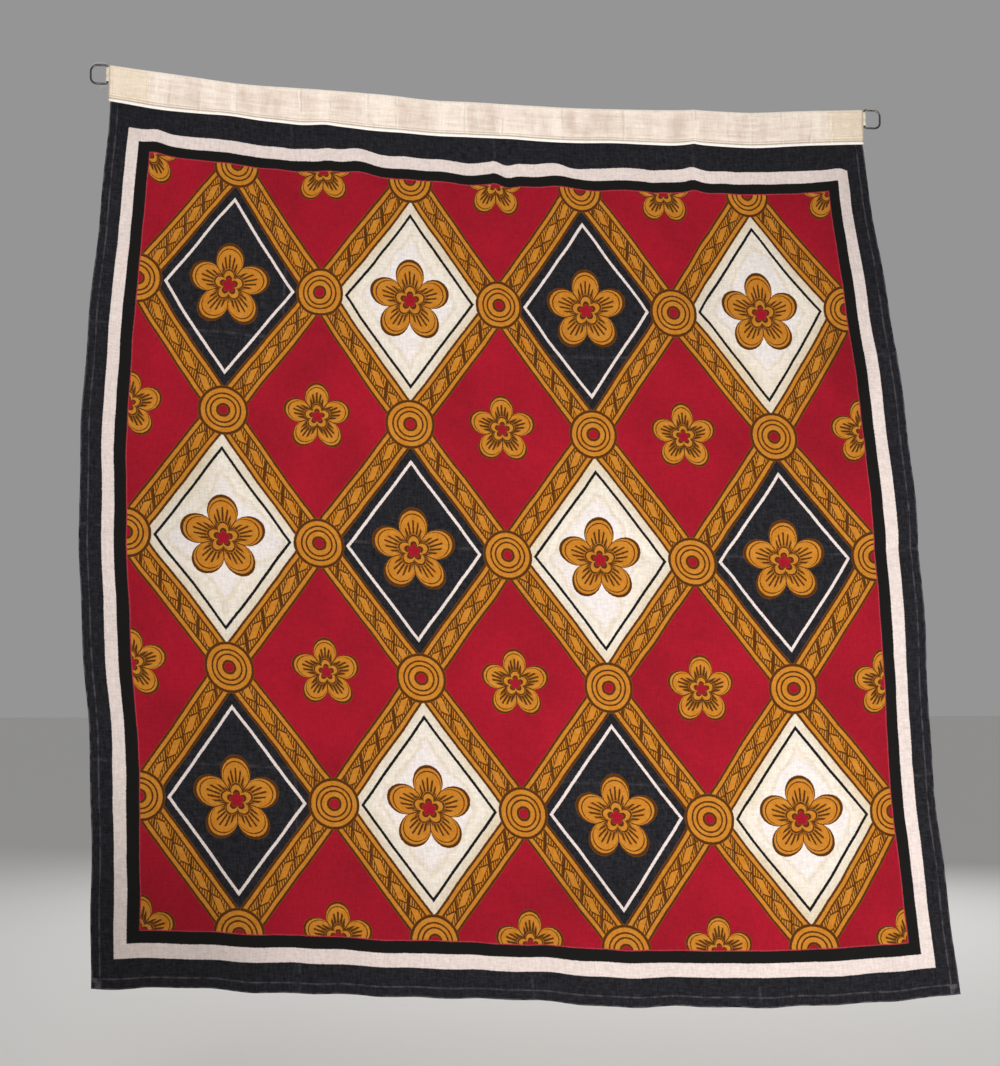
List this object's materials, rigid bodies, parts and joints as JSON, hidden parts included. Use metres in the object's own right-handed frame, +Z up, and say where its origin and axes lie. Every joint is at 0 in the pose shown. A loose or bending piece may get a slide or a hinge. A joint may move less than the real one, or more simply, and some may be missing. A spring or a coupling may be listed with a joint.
{
  "type": "hung square cotton flag",
  "caption": "Square printed cotton flag with striped border, hanging opened out from a canvas heading with a wire ring at each end; soft folds, storage creases and worn hems.",
  "frame": {"origin": "middle of the heading's top edge, which is what the flag hangs from", "axes": "+Z up, +X to the viewer's right, the printed front faces -Y"},
  "size_m": [1.2534, 0.0267, 1.3514],
  "materials": {
    "printed_cotton": "plain-woven cotton, printed through, washed and faded",
    "cream_canvas": "undyed cotton canvas, slightly yellowed",
    "cotton_tape": "narrow woven cotton tape",
    "dark_steel_wire": "darkened round wire, dull"
  },
  "bodies": {
    "root": {"flag_panel": "printed_cotton", "heading": "cream_canvas", "ring_tab_left": "cotton_tape", "ring_tab_right": "cotton_tape", "ring_left": "dark_steel_wire", "ring_right": "dark_steel_wire"}
  },
  "joints": []
}
